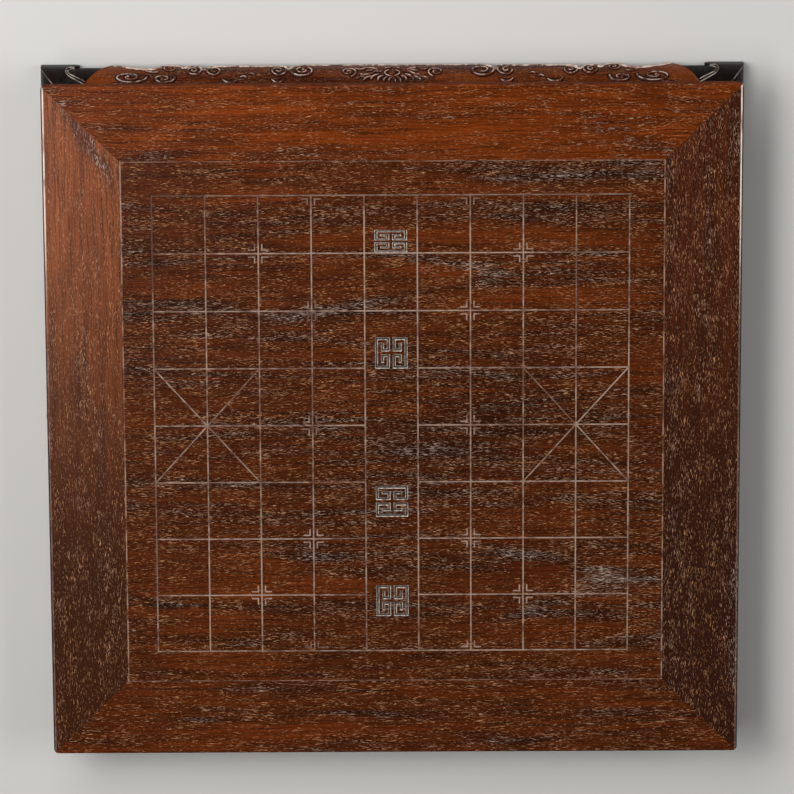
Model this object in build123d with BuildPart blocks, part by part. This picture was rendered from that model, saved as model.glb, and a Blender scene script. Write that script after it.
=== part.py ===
"""A xiangqi board box: a framed playing board on a carved, waisted stand with a drawer for each player.

+X and -X are the players' sides, where the drawers are. +Z is up, and the feet stand on Z = 0.
The four sides of the stand are alike: each piece is made once, as it stands on the back side, which
faces +Y, and is then turned to its place.
"""

from build123d import *
import os

os.makedirs("parts", exist_ok=True)

# ---------------------------------------------------------------- driving sizes, in millimetres
# the board
height = 54.0  # floor to playing face
board_side = 448.0  # the square board, over its frame
board_corner = 3.0  # rounding of the board's corners in plan
board_arris = 1.4  # rounding of the frame's upper edge
frame_thickness = 12.0
frame_width = 49.5
frame_lip = 5.5  # upright part of the frame's outer edge
frame_step = 0.8  # small step under the lip
frame_foot_inset = 7.0  # how far the moulded edge draws in at its underside
corner_tenon_width = 16.0
corner_tenon_thickness = 3.5
corner_tenon_low = 5.5  # frame's underside to the tenon
corner_tenon_cover = 10.0  # wood left beyond the end of the tenon
panel_thickness = 7.0
panel_gap = 0.25  # seasonal gap round the panel, inside the frame's grooves
tongue_thickness = 3.0
tongue_length = 5.0
tongue_drop = 3.4  # playing face to the top of the panel's tongue
# the lines let into the playing face
spaces_across = 9  # spaces along X, the river among them
spaces_deep = 8  # spaces along Y
palace = 2  # spaces along a side of a palace
margin_across = 21.5  # panel's edge to the grid, along X
margin_deep = 21.7
grid_left = 1.4  # the hand-laid grid stands a little off centre: this far to the left
grid_low = 1.0  # and this far to the front
line_width = 0.9
line_depth = 0.6
mark_offset = 1.9  # how far the corner marks stand off the lines
mark_length = 4.6
# the stand: waist, aprons and legs
shoulder_height = 22.0  # floor to the top of the aprons
shoulder_inset = 7.5  # the apron's top edge, in from the board's edge
bulge = 2.3  # the apron's lower edge, out beyond the board's edge
bulge_rise = 3.0  # rise of the bulging arc over its chord
bulge_bottom = 4.0  # height at which the bulging arc ends
skirt_depth = 20.0  # the skirt's inner face, in from the board's edge
apron_lip = 6.0  # thickness of an apron along its lower edge
apron_bevel = 8.0  # bevel behind that edge
mitre_inset = 47.5  # where the leg-to-apron mitre would meet the floor, in from the board's edge
waist_inset = 10.0
waist_tongue = 2.0
waist_tongue_height = 1.6
waist_tongue_inset = 13.5
waist_tongue_stop = 6.0  # the tongues stop this short of a piece's end and of the leg
leg_post = 22.0
post_low = 12.0  # floor to the underside of the post
post_tenon = 6.0
post_tenon_height = 4.0
post_tenon_offset = 5.5
ankle_radius = 5.0
ankle_corner_inset = 2.0  # where the leg's sloping edge and the toe's upper edge would meet,
ankle_corner_height = 8.9  # but for the ankle's hollow
toe_width = 22.7
toe_height = 5.6
toe_bow = 1.1  # rounding of the toe
sole_width = 20.5
wing_bottom = 7.4
wing_recess = 0.7
wing_root = 10.5  # board's edge to the end of the wing's wood inside the leg
bead_width = 1.9
bead_proud = 0.3
bead_root = 9.5  # board's edge to the back of the bead's wood
bead_groove = 0.5
bead_stop = 1.8  # apron's top down to the bead's upper end
shoulder_tenon = 4.0
shoulder_tenon_inset = 12.0
shoulder_tenon_reach = 5.0
shoulder_tenon_root = 2.0
shoulder_tenon_low = 2.5  # wing's lower edge up to the tenon
shoulder_tenon_drop = 3.5  # apron's top down to the tenon
# the cusped lower edge of an apron: heights of the edge
edge_centre = 3.8
edge_flat = 5.8
edge_lobe = 2.9
centre_tip_height = 10.8
notch_height = 11.2
scroll_end_height = 8.8
lobe_end_height = 5.7
hollow_height = 10.0
# places along it, from the middle of the apron
centre_scroll = 66.4  # end of the large scroll
centre_scroll_width = 17.0
side_scroll_width = 7.0
# places along it, in from the board's edge
end_scroll = 103.3  # notch before the paired end scrolls
end_flat_curve = 12.5
end_scroll_width = 13.2
end_lobe = 75.5
end_crest = 68.0  # top of the long hollow
end_peak = 45.8
# and how far its curves bow below the straight between their ends
centre_bow = 3.2
side_bow = 2.0
lobe_bow = 4.3
# inside the case
bottom_thickness = 5.0
bottom_tongue = 2.5
bottom_tongue_reach = 3.5
batten_width = 22.0
batten_place = 92.0
batten_lift = 0.5  # batten's underside above the frame's underside
batten_shoulder = 3.0  # step from a batten's sides to its stubs and its dovetail
batten_stub = 9.0
batten_stub_thickness = 3.5
dovetail_depth = 2.4
dovetail_flare = 1.2
partition_thickness = 8.0
partition_housing = 1.5
guide_width = 9.0
guide_height = 7.0
guide_chamfer = 0.8
# the drawers
mouth_inset = 73.5  # board's edge to the side of a drawer's mouth
drawer_clearance = 0.5
drawer_end_gap = 6.0  # a shut drawer's inner end to the partition
drawer_front_thickness = 12.0
drawer_front_chamfer = 0.6
drawer_side_thickness = 7.0
drawer_side_height = 15.0
drawer_bottom_thickness = 3.0
drawer_bottom_drop = 1.5
drawer_groove = 2.5
drawer_back_thickness = 6.0
drawer_back_inset = 4.0
divider_thickness = 5.0
divider_height = 9.0
divider_housing = 2.0
tail_reach = 8.0
tail_root = 5.5
tail_end = 8.5
tail_lift = 1.0  # dovetail's middle above the middle of the drawer's side
knob_diameter = 10.0
knob_length = 10.5
knob_collar = 6.8
knob_collar_thickness = 1.0
knob_neck = 4.4
knob_cove = 3.4  # length of the hollow curve from neck to rim
knob_rim = 0.8
knob_dome = 3.4
shank_diameter = 3.4
shank_length = 9.0
rosette_diameter = 14.0
rosette_thickness = 1.1
rosette_rim = 0.4  # thickness at the rosette's rim
rosette_slope = 1.4  # width of its bevelled border
# fits
glue_gap = 0.05  # between pieces that are fixed to each other
joint_gap = 0.15  # round tenons and tongues, and over a sliding drawer's grooves
over = 1.0  # how far a cutter, or wood that joins its own piece, runs past the face it meets

# ---------------------------------------------------------------- places worked out from them
half = board_side / 2
frame_bottom = height - frame_thickness
panel_half = half - frame_width
skirt_inner = half - skirt_depth
skirt_reach = half + bulge + over
waist_outer = half - waist_inset
post_inner = skirt_inner - leg_post
post_middle = skirt_inner - leg_post / 2
mitre_foot = half - mitre_inset
space_across = (2 * panel_half - 2 * margin_across) / spaces_across
space_deep = (2 * panel_half - 2 * margin_deep) / spaces_deep
panel_low = height - panel_thickness
tongue_top = height - tongue_drop
batten_low = frame_bottom + batten_lift
bottom_low = shoulder_height - bottom_thickness
mouth_half = half - mouth_inset
drawer_outer = mouth_half - drawer_clearance
drawer_low = shoulder_height + drawer_clearance
drawer_top = frame_bottom - drawer_clearance
drawer_inner_end = partition_thickness / 2 + drawer_end_gap
knob_height = (drawer_low + drawer_top) / 2
crossing_ranks = (0, 1, 2, spaces_deep)  # the ranks of the grid that run on across the river
turns = {"back": 0, "left": 90, "front": 180, "right": 270}
player_sides = ("left", "right")
corner_plane = Plane((0, 0, 0), z_dir=(1, -1, 0))  # upright, through the middle and the back right corner
finished = []


def keep(part, name):
    """Labels a finished piece and writes it to its own file."""
    part.label = name
    export_step(part, f"parts/{name}.step")
    finished.append(part)


def block(x_span, y_span, z_span):
    """A plain block, from its lowest to its highest place along X, Y and Z."""
    with BuildPart() as made:
        with BuildSketch(Plane.XY.offset(z_span[0])):
            with Locations(((x_span[0] + x_span[1]) / 2, (y_span[0] + y_span[1]) / 2)):
                Rectangle(x_span[1] - x_span[0], y_span[1] - y_span[0])
        extrude(amount=z_span[1] - z_span[0])
    return made.part


def mitred_block(inner, outer, z_span):
    """The back side of a square ring, cut at 45 degrees at both ends."""
    with BuildPart() as made:
        with BuildSketch(Plane.XY.offset(z_span[0])):
            Polygon((-inner, inner), (inner, inner), (outer, outer), (-outer, outer), align=None)
        extrude(amount=z_span[1] - z_span[0])
    return made.part


# ---------------------------------------------------------------- joints that two pieces share
def corner_tenon(gap=0.0):
    """Tenon at the +X end of a left or right frame member, as that member lies on the back side."""
    middle = half - frame_width / 2
    low = frame_bottom + corner_tenon_low
    return block(
        (middle - corner_tenon_width / 2, half - corner_tenon_cover + gap),
        (middle - corner_tenon_width / 2 - gap, middle + corner_tenon_width / 2 + gap),
        (low - gap, low + corner_tenon_thickness + gap),
    )


def post_tenons(gap=0.0):
    """The two tenons on top of the +X +Y leg, one into each of the frame members that meet there."""
    with BuildPart() as made:
        with BuildSketch(Plane.XY.offset(frame_bottom - over)):
            near = post_middle - post_tenon_offset
            far = post_middle + post_tenon_offset
            with Locations((near, far), (far, near)):
                Rectangle(post_tenon + 2 * gap, post_tenon + 2 * gap)
        extrude(amount=over + post_tenon_height + gap)
    return made.part


def batten_stub_block(gap=0.0):
    """The stub by which the right batten enters the back frame member."""
    stub_half = batten_width / 2 - batten_shoulder + gap
    return block(
        (batten_place - stub_half, batten_place + stub_half),
        (panel_half - over, panel_half + batten_stub + gap),
        (batten_low - gap, batten_low + batten_stub_thickness + gap),
    )


def waist_spans(side):
    """The stretches of waist on a side: one whole one, or one at each side of a drawer's mouth."""
    if side not in player_sides:
        return {"": (-waist_outer, waist_outer)}
    ends = ("front_end", "back_end") if side == "left" else ("back_end", "front_end")
    return {ends[0]: (-waist_outer, -mouth_half), ends[1]: (mouth_half, waist_outer)}


def waist_tongue_block(span, low, high, gap=0.0):
    """A tongue along a stretch of waist, stopped short of its ends and of the legs."""
    reach = post_inner - waist_tongue_stop
    middle = half - waist_tongue_inset
    return block(
        (max(span[0] + waist_tongue_stop, -reach) - gap, min(span[1] - waist_tongue_stop, reach) + gap),
        (middle - waist_tongue / 2 - gap, middle + waist_tongue / 2 + gap),
        (low - gap, high + gap),
    )


def shoulder_tenon_block(gap=0.0):
    """The tenon that the +X leg's wing puts across the mitre into the back apron."""
    low = wing_bottom + shoulder_tenon_low
    high = shoulder_height - shoulder_tenon_drop
    reach = shoulder_tenon_reach + gap
    with BuildPart() as made:
        with BuildSketch(Plane.XZ.offset(-(half - shoulder_tenon_inset - shoulder_tenon / 2 - gap))):
            Polygon(
                (mitre_foot + low + shoulder_tenon_root, low - gap),
                (mitre_foot + high + shoulder_tenon_root, high + gap),
                (mitre_foot + high - reach, high + gap),
                (mitre_foot + low - reach, low - gap),
                align=None,
            )
        extrude(amount=-(shoulder_tenon + 2 * gap))
    return made.part


# ---------------------------------------------------------------- the board's frame
def edge_cutter():
    """What is planed off the frame's back edge: a step under the lip, then an ogee inwards."""
    start = (half - frame_step, height - frame_lip)
    end = (half - frame_foot_inset, frame_bottom)
    middle = ((start[0] + end[0]) / 2, (start[1] + end[1]) / 2)
    with BuildPart() as made:
        with BuildSketch(Plane.YZ):
            with BuildLine():
                TangentArc(start, middle, tangent=(0, -1))
                TangentArc(end, middle, tangent=(0, 1))
                Polyline(
                    end,
                    (end[0], frame_bottom - over),
                    (half + over, frame_bottom - over),
                    (half + over, start[1]),
                    start,
                )
            make_face()
        extrude(amount=board_side, both=True)
    return made.part


with BuildPart() as frame_ring:
    with BuildSketch(Plane.XY.offset(frame_bottom)):
        RectangleRounded(board_side, board_side, board_corner)
        Rectangle(2 * panel_half, 2 * panel_half, mode=Mode.SUBTRACT)
    extrude(amount=frame_thickness)
    fillet(frame_ring.faces().sort_by(Axis.Z)[-1].outer_wire().edges(), board_arris)
    with PolarLocations(0, 4):
        add(edge_cutter(), mode=Mode.SUBTRACT)
    with BuildSketch(Plane.XY.offset(tongue_top - tongue_thickness)):
        groove_side = 2 * (panel_half + tongue_length + panel_gap)
        Rectangle(groove_side, groove_side)
    extrude(amount=tongue_thickness, mode=Mode.SUBTRACT)

for side, turn in turns.items():
    with BuildPart() as frame_member:
        add(frame_ring.part)
        quarter = mitred_block(panel_half - over, half + over, (frame_bottom - over, height + over))
        add(quarter, mode=Mode.INTERSECT)
        if side in player_sides:
            add(corner_tenon())
            mirror(corner_tenon(), about=Plane.YZ)
        else:
            mortise = mirror(corner_tenon(joint_gap), about=corner_plane, mode=Mode.PRIVATE)
            add(mortise, mode=Mode.SUBTRACT)
            mirror(mortise, about=Plane.YZ, mode=Mode.SUBTRACT)
            add(batten_stub_block(joint_gap), mode=Mode.SUBTRACT)
            mirror(batten_stub_block(joint_gap), about=Plane.YZ, mode=Mode.SUBTRACT)
        add(post_tenons(joint_gap), mode=Mode.SUBTRACT)
        mirror(post_tenons(joint_gap), about=Plane.YZ, mode=Mode.SUBTRACT)
        for span in waist_spans(side).values():
            groove = waist_tongue_block(span, frame_bottom, frame_bottom + waist_tongue_height, joint_gap)
            add(groove, mode=Mode.SUBTRACT)
    keep(frame_member.part.rotate(Axis.Z, turn), f"frame_{side}")


# ---------------------------------------------------------------- the playing panel and its lines
def point(file, rank):
    """Place on the grid: files count along X from the left, ranks along Y from the back."""
    return (
        (file - spaces_across / 2) * space_across - grid_left,
        (spaces_deep / 2 - rank) * space_deep - grid_low,
    )


def grid_line(start, end):
    """One line between two grid places, with square ends."""
    (x0, y0), (x1, y1) = point(*start), point(*end)
    run = Vector(x1 - x0, y1 - y0)
    with BuildSketch() as made:
        with Locations(Location(((x0 + x1) / 2, (y0 + y1) / 2), Axis.X.direction.get_signed_angle(run))):
            Rectangle(run.length + line_width, line_width)
    return made.sketch


def corner_mark(file, rank, right, up):
    """One of the small L marks round the point where a cannon or soldier starts."""
    with BuildSketch() as made:
        with Locations(point(file, rank)):
            for size in ((mark_length, line_width), (line_width, mark_length)):
                with Locations((right * (mark_offset + size[0] / 2), up * (mark_offset + size[1] / 2))):
                    Rectangle(*size)
    return made.sketch


def line_pattern():
    """All the lines of the playing face, drawn flat."""
    river = (spaces_across - 1) // 2
    with BuildSketch(Plane.XY.offset(height - line_depth)) as drawn:
        for file in range(spaces_across + 1):
            add(grid_line((file, 0), (file, spaces_deep)))
        for rank in range(spaces_deep + 1):
            if rank in crossing_ranks:
                add(grid_line((0, rank), (spaces_across, rank)))
            else:
                add(grid_line((0, rank), (river, rank)))
                add(grid_line((river + 1, rank), (spaces_across, rank)))
        low = (spaces_deep - palace) // 2
        for file in (0, spaces_across - palace):
            add(grid_line((file, low), (file + palace, low + palace)))
            add(grid_line((file, low + palace), (file + palace, low)))
        marked = [(file, rank) for file in (2, spaces_across - 2) for rank in (1, spaces_deep - 1)]
        marked += [(file, rank) for file in (3, spaces_across - 3) for rank in range(0, spaces_deep + 1, 2)]
        for file, rank in marked:
            for up in (1, -1):
                if 0 <= rank - up <= spaces_deep:
                    add(corner_mark(file, rank, 1, up))
                    add(corner_mark(file, rank, -1, up))
    return drawn.sketch


with BuildPart() as line_inlay:
    extrude(line_pattern(), amount=line_depth)
keep(line_inlay.part, "line_inlay")


def dovetail(place, gap, length):
    """The dovetailed upper part of a batten, along Y, let into the panel's underside."""
    root = batten_width / 2 - batten_shoulder
    with BuildPart() as made:
        with BuildSketch(Plane.XZ):
            Polygon(
                (place - root, panel_low - over),
                (place + root, panel_low - over),
                (place + root + dovetail_flare + gap, panel_low + dovetail_depth + gap),
                (place - root - dovetail_flare - gap, panel_low + dovetail_depth + gap),
                align=None,
            )
        extrude(amount=length / 2, both=True)
    return made.part


with BuildPart() as board_panel:
    with BuildSketch(Plane.XY.offset(panel_low)):
        Rectangle(2 * (panel_half - glue_gap), 2 * (panel_half - glue_gap))
    extrude(amount=panel_thickness)
    with BuildSketch(Plane.XY.offset(tongue_top - tongue_thickness + glue_gap)):
        Rectangle(2 * (panel_half + tongue_length), 2 * (panel_half + tongue_length))
    extrude(amount=tongue_thickness - 2 * glue_gap)
    for place in (-batten_place, batten_place):
        add(dovetail(place, glue_gap, 2 * (panel_half + tongue_length + over)), mode=Mode.SUBTRACT)
    extrude(line_pattern(), amount=line_depth + over, mode=Mode.SUBTRACT)
keep(board_panel.part, "board_panel")

for name, place in (("left", -batten_place), ("right", batten_place)):
    with BuildPart() as panel_batten:
        add(block(
            (place - batten_width / 2, place + batten_width / 2),
            (-panel_half + glue_gap, panel_half - glue_gap),
            (batten_low, panel_low - glue_gap),
        ))
        add(dovetail(place, 0, 2 * (panel_half - glue_gap)))
        stub = batten_stub_block()
        if place < 0:
            stub = mirror(stub, about=Plane.YZ, mode=Mode.PRIVATE)
        add(stub)
        mirror(stub, about=Plane.XZ)
    keep(panel_batten.part, f"panel_batten_{name}")


# ---------------------------------------------------------------- the skirt: aprons and legs
def skirt_prism(outset=0.0, inner=0.0):
    """The skirt's section, from an inner face out to its bulging face, run along the back side."""
    top = (half - shoulder_inset + outset, shoulder_height)
    foot = (half + bulge + outset, bulge_bottom)
    with BuildPart() as made:
        with BuildSketch(Plane.YZ):
            with BuildLine():
                SagittaArc(top, foot, bulge_rise)
                Polyline(foot, (foot[0], 0), (inner, 0), (inner, shoulder_height), top)
            make_face()
        extrude(amount=board_side, both=True)
    return made.part


def apron_outline():
    """Face view of an apron: mitred ends, and a lower edge of scrolls, a lobe and a long hollow."""
    centre_start = (centre_scroll - centre_scroll_width, edge_centre)
    centre_tip = (centre_scroll, centre_tip_height)
    side_end = (centre_scroll + side_scroll_width, edge_flat)
    notch = (half - end_scroll, notch_height)
    end_start = (notch[0] - end_flat_curve, edge_flat)
    scroll_end = (notch[0] + end_scroll_width, scroll_end_height)
    lobe_end = (half - end_lobe, lobe_end_height)
    crest = (half - end_crest, hollow_height)
    peak = (half - end_peak, edge_lobe)
    mitre = mitre_foot - glue_gap
    with BuildSketch(Plane.XZ) as face:
        with BuildLine():
            Line((0, edge_centre), centre_start)
            SagittaArc(centre_start, centre_tip, -centre_bow)
            SagittaArc(centre_tip, side_end, -side_bow)
            Line(side_end, end_start)
            SagittaArc(end_start, notch, -side_bow)
            SagittaArc(notch, scroll_end, -lobe_bow)
            SagittaArc(scroll_end, lobe_end, -lobe_bow)
            TangentArc(crest, lobe_end, tangent=(-1, 0))
            TangentArc(crest, peak, tangent=(1, 0))
            Polyline(
                peak,
                (mitre + edge_lobe, edge_lobe),
                (mitre + shoulder_height, shoulder_height),
                (0, shoulder_height),
                (0, edge_centre),
            )
        make_face()
        mirror(about=Plane.YZ)
    return face.sketch


for side, turn in turns.items():
    with BuildPart() as apron:
        extrude(apron_outline(), amount=-skirt_reach)
        add(skirt_prism(inner=skirt_inner), mode=Mode.INTERSECT)
        with BuildSketch(Plane.YZ):
            lip = half + bulge - apron_lip
            Polygon(
                (skirt_inner - over, bottom_low - 2 * joint_gap),
                (skirt_inner - over, 0),
                (lip, 0),
                (lip, edge_lobe),
                (lip - apron_bevel, edge_lobe + apron_bevel),
                align=None,
            )
        extrude(amount=board_side, both=True, mode=Mode.SUBTRACT)
        add(block(
            (-post_inner, post_inner),
            (skirt_inner - over, skirt_inner + bottom_tongue_reach + joint_gap),
            (bottom_low - joint_gap, bottom_low + bottom_tongue + joint_gap),
        ), mode=Mode.SUBTRACT)
        add(shoulder_tenon_block(joint_gap), mode=Mode.SUBTRACT)
        mirror(shoulder_tenon_block(joint_gap), about=Plane.YZ, mode=Mode.SUBTRACT)
        for span in waist_spans(side).values():
            low = shoulder_height - waist_tongue_height
            groove = waist_tongue_block(span, low, shoulder_height, joint_gap)
            add(groove, mode=Mode.SUBTRACT)
    keep(apron.part.rotate(Axis.Z, turn), f"apron_{side}")


def inner_edge():
    """The leg's inner edge in face view: down from the mitre, round the ankle, then in to the toe."""
    start = shoulder_height - bead_stop
    corner = (half - ankle_corner_inset, ankle_corner_height)
    with BuildLine() as edge:
        FilletPolyline((mitre_foot + start, start), corner, (half - toe_width, toe_height), radius=ankle_radius)
    return edge.line


def leg_outline():
    """Face view of the leg without its wing: wide at the shoulder, narrow at the ankle, toe turned in."""
    edge = inner_edge()
    sole_start = (half - sole_width, 0)
    with BuildSketch(Plane.XZ) as face:
        with BuildLine():
            add(edge)
            SagittaArc(edge @ 1, sole_start, -toe_bow)
            Polyline(
                sole_start,
                (skirt_reach, 0),
                (skirt_reach, shoulder_height),
                (mitre_foot + shoulder_height, shoulder_height),
                edge @ 0,
            )
        make_face()
    return face.sketch


def bead(width):
    """A strip of that width along the leg's inner edge, run through the leg."""
    with BuildPart() as made:
        with BuildSketch(Plane.XZ):
            with BuildLine():
                add(inner_edge())
            trace(line_width=width)
        extrude(amount=-skirt_reach)
    return made.part


with BuildPart() as leg_wing:
    # the wing beside the leg, a little behind its face, up to the mitre
    with BuildSketch(Plane.XZ):
        Polygon(
            (mitre_foot + shoulder_height, shoulder_height),
            (mitre_foot + wing_bottom, wing_bottom),
            (half - wing_root, wing_bottom),
            (half - wing_root, shoulder_height),
            align=None,
        )
    extrude(amount=-skirt_reach)
    add(skirt_prism(outset=-wing_recess, inner=skirt_inner), mode=Mode.INTERSECT)
    add(shoulder_tenon_block())

with BuildPart() as bead_hollow:
    add(bead(bead_groove))
    add(skirt_prism(), mode=Mode.SUBTRACT)

with BuildPart() as leg_bead:
    add(bead(bead_width))
    add(skirt_prism(outset=bead_proud, inner=half - bead_root), mode=Mode.INTERSECT)
    add(bead_hollow.part, mode=Mode.SUBTRACT)
    with BuildSketch(Plane.XZ):
        # the bead ends on the mitre
        past_mitre = [(mitre_foot, 0), (mitre_foot + shoulder_height, shoulder_height), (0, shoulder_height), (0, 0)]
        Polygon(*past_mitre, align=None)
    extrude(amount=-skirt_reach, mode=Mode.SUBTRACT)

with BuildPart() as leg:
    extrude(leg_outline(), amount=-skirt_reach)
    add(mirror(leg.part, about=corner_plane, mode=Mode.PRIVATE), mode=Mode.INTERSECT)
    add(skirt_prism(), mode=Mode.INTERSECT)
    add(mirror(skirt_prism(), about=corner_plane, mode=Mode.PRIVATE), mode=Mode.INTERSECT)
    add(leg_wing.part)
    add(leg_bead.part)
    mirror(leg_wing.part, about=corner_plane)
    mirror(leg_bead.part, about=corner_plane)
    add(block((post_inner, skirt_inner), (post_inner, skirt_inner), (post_low, frame_bottom - glue_gap)))
    add(post_tenons())

for name, turn in (("back_right", 0), ("back_left", 90), ("front_left", 180), ("front_right", 270)):
    keep(leg.part.rotate(Axis.Z, turn), f"leg_{name}")


# ---------------------------------------------------------------- the waist
for side, turn in turns.items():
    for end, span in waist_spans(side).items():
        with BuildPart() as waist:
            band = (shoulder_height + glue_gap, frame_bottom - glue_gap)
            add(mitred_block(skirt_inner, waist_outer, band))
            add(block(span, (skirt_inner - over, waist_outer + over), band), mode=Mode.INTERSECT)
            low = shoulder_height - waist_tongue_height
            high = frame_bottom + waist_tongue_height
            add(waist_tongue_block(span, low, high))
        keep(waist.part.rotate(Axis.Z, turn), f"waist_{side}_{end}" if end else f"waist_{side}")


# ---------------------------------------------------------------- inside the case
with BuildPart() as case_bottom:
    with BuildSketch(Plane.XY.offset(bottom_low)):
        Rectangle(2 * (skirt_inner - joint_gap), 2 * (skirt_inner - joint_gap))
    extrude(amount=bottom_thickness)
    with BuildSketch(Plane.XY.offset(bottom_low)):
        Rectangle(2 * (skirt_inner + bottom_tongue_reach), 2 * (skirt_inner + bottom_tongue_reach))
    extrude(amount=bottom_tongue)
    with BuildSketch(Plane.XY.offset(bottom_low)):
        notch = skirt_inner + bottom_tongue_reach - post_inner + joint_gap
        with GridLocations(2 * (post_inner - joint_gap) + notch, 2 * (post_inner - joint_gap) + notch, 2, 2):
            Rectangle(notch, notch)
    extrude(amount=bottom_thickness, mode=Mode.SUBTRACT)
    with BuildSketch(Plane.XY.offset(shoulder_height - partition_housing)):
        Rectangle(partition_thickness + 2 * joint_gap, 2 * skirt_inner)
    extrude(amount=partition_housing, mode=Mode.SUBTRACT)
keep(case_bottom.part, "case_bottom")

with BuildPart() as centre_partition:
    add(block(
        (-partition_thickness / 2, partition_thickness / 2),
        (-skirt_inner + joint_gap, skirt_inner - joint_gap),
        (shoulder_height - partition_housing, frame_bottom - glue_gap),
    ))
    add(block(
        (-partition_thickness / 2, partition_thickness / 2),
        (-panel_half + joint_gap, panel_half - joint_gap),
        (frame_bottom - over, panel_low - glue_gap),
    ))
keep(centre_partition.part, "centre_partition")

for x_sign, side in ((-1, "left"), (1, "right")):
    for y_sign, end in ((-1, "front"), (1, "back")):
        with BuildPart() as drawer_guide:
            start = partition_thickness / 2 + glue_gap
            length = skirt_inner - glue_gap - start
            with BuildSketch(Plane.XY.offset(shoulder_height)):
                with Locations((x_sign * (start + length / 2), y_sign * (mouth_half + guide_width / 2))):
                    Rectangle(length, guide_width)
            extrude(amount=guide_height)
            chamfer(drawer_guide.faces().sort_by(Axis.Z)[-1].edges(), guide_chamfer)
        keep(drawer_guide.part, f"drawer_guide_{side}_{end}")


# ---------------------------------------------------------------- the drawers
front_inner = waist_outer - drawer_front_thickness
side_inner = drawer_outer - drawer_side_thickness
floor_low = drawer_low + drawer_bottom_drop
floor_top = floor_low + drawer_bottom_thickness
back_near = drawer_inner_end + drawer_back_inset
back_far = back_near + drawer_back_thickness


def drawer_tail(gap=0.0):
    """The dovetail on the outer end of a drawer's right side, which the front takes."""
    middle = drawer_low + drawer_side_height / 2 + tail_lift
    with BuildPart() as made:
        with BuildSketch(Plane.XZ.offset(-(side_inner - gap))):
            Polygon(
                (front_inner - over, middle - tail_root / 2 - gap),
                (front_inner + tail_reach + gap, middle - tail_end / 2 - gap),
                (front_inner + tail_reach + gap, middle + tail_end / 2 + gap),
                (front_inner - over, middle + tail_root / 2 + gap),
                align=None,
            )
        extrude(amount=-(drawer_side_thickness + 2 * gap))
    return made.part


with BuildPart() as drawer_front:
    add(block((front_inner, waist_outer), (-drawer_outer, drawer_outer), (drawer_low, drawer_top)))
    chamfer(drawer_front.faces().sort_by(Axis.X)[-1].edges(), drawer_front_chamfer)
    add(drawer_tail(glue_gap), mode=Mode.SUBTRACT)
    mirror(drawer_tail(glue_gap), about=Plane.XZ, mode=Mode.SUBTRACT)
    add(block(
        (front_inner - over, front_inner + drawer_groove + glue_gap),
        (-side_inner - drawer_groove, side_inner + drawer_groove),
        (floor_low - glue_gap, floor_top + glue_gap),
    ), mode=Mode.SUBTRACT)
    add(block(
        (front_inner - over, front_inner + drawer_groove),
        (-divider_thickness / 2 - glue_gap, divider_thickness / 2 + glue_gap),
        (floor_top, floor_top + divider_height + glue_gap),
    ), mode=Mode.SUBTRACT)
    with Locations(Plane((waist_outer, 0, knob_height), z_dir=(1, 0, 0))):
        Hole(shank_diameter / 2 + glue_gap)

with BuildPart() as drawer_side:
    add(block(
        (drawer_inner_end, front_inner),
        (side_inner, drawer_outer),
        (drawer_low, drawer_low + drawer_side_height),
    ))
    add(drawer_tail())
    add(block(
        (drawer_inner_end - over, front_inner + over),
        (side_inner - over, side_inner + drawer_groove + glue_gap),
        (floor_low - glue_gap, floor_top + glue_gap),
    ), mode=Mode.SUBTRACT)
    add(block(
        (back_near - glue_gap, back_far + glue_gap),
        (side_inner - over, side_inner + drawer_groove + glue_gap),
        (floor_top - over, drawer_low + drawer_side_height + over),
    ), mode=Mode.SUBTRACT)

with BuildPart() as drawer_bottom:
    add(block(
        (back_near, front_inner + drawer_groove),
        (-side_inner - drawer_groove, side_inner + drawer_groove),
        (floor_low, floor_top),
    ))

with BuildPart() as drawer_back:
    add(block(
        (back_near, back_far),
        (-side_inner - drawer_groove, side_inner + drawer_groove),
        (floor_top + glue_gap, drawer_low + drawer_side_height),
    ))
    add(block(
        (back_far - divider_housing - glue_gap, back_far + over),
        (-divider_thickness / 2 - glue_gap, divider_thickness / 2 + glue_gap),
        (floor_top, floor_top + divider_height + glue_gap),
    ), mode=Mode.SUBTRACT)

with BuildPart() as drawer_divider:
    add(block(
        (back_far - divider_housing, front_inner + drawer_groove - glue_gap),
        (-divider_thickness / 2, divider_thickness / 2),
        (floor_top + glue_gap, floor_top + divider_height),
    ))

knob_plane = Plane((waist_outer, 0, knob_height), x_dir=(1, 0, 0), z_dir=(0, -1, 0))
knob_axis = Axis((waist_outer, 0, knob_height), (1, 0, 0))

with BuildPart() as rosette:
    with BuildSketch(knob_plane):
        with BuildLine():
            hole = shank_diameter / 2 + glue_gap
            rim = rosette_diameter / 2
            bevel = (rosette_thickness, rim - rosette_slope)
            Polyline((0, hole), (0, rim), (rosette_rim, rim), bevel, (rosette_thickness, hole), (0, hole))
        make_face()
    revolve(axis=knob_axis)

with BuildPart() as knob:
    with BuildSketch(knob_plane):
        with BuildLine():
            seat = rosette_thickness + glue_gap
            collar_end = seat + knob_collar_thickness
            head = knob_diameter / 2
            tip = (seat + knob_length, 0)
            dome_start = (tip[0] - knob_dome, head)
            rim_start = (dome_start[0] - knob_rim, head)
            neck_end = (rim_start[0] - knob_cove, knob_neck / 2)
            dome_radius = (head**2 + knob_dome**2) / (2 * knob_dome)
            Polyline(
                tip,
                (-shank_length, 0),
                (-shank_length, shank_diameter / 2),
                (seat, shank_diameter / 2),
                (seat, knob_collar / 2),
                (collar_end, knob_collar / 2),
                (collar_end, knob_neck / 2),
                neck_end,
            )
            TangentArc(neck_end, rim_start, tangent=(1, 0))
            Line(rim_start, dome_start)
            RadiusArc(dome_start, tip, dome_radius)
        make_face()
    revolve(axis=knob_axis)

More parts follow.
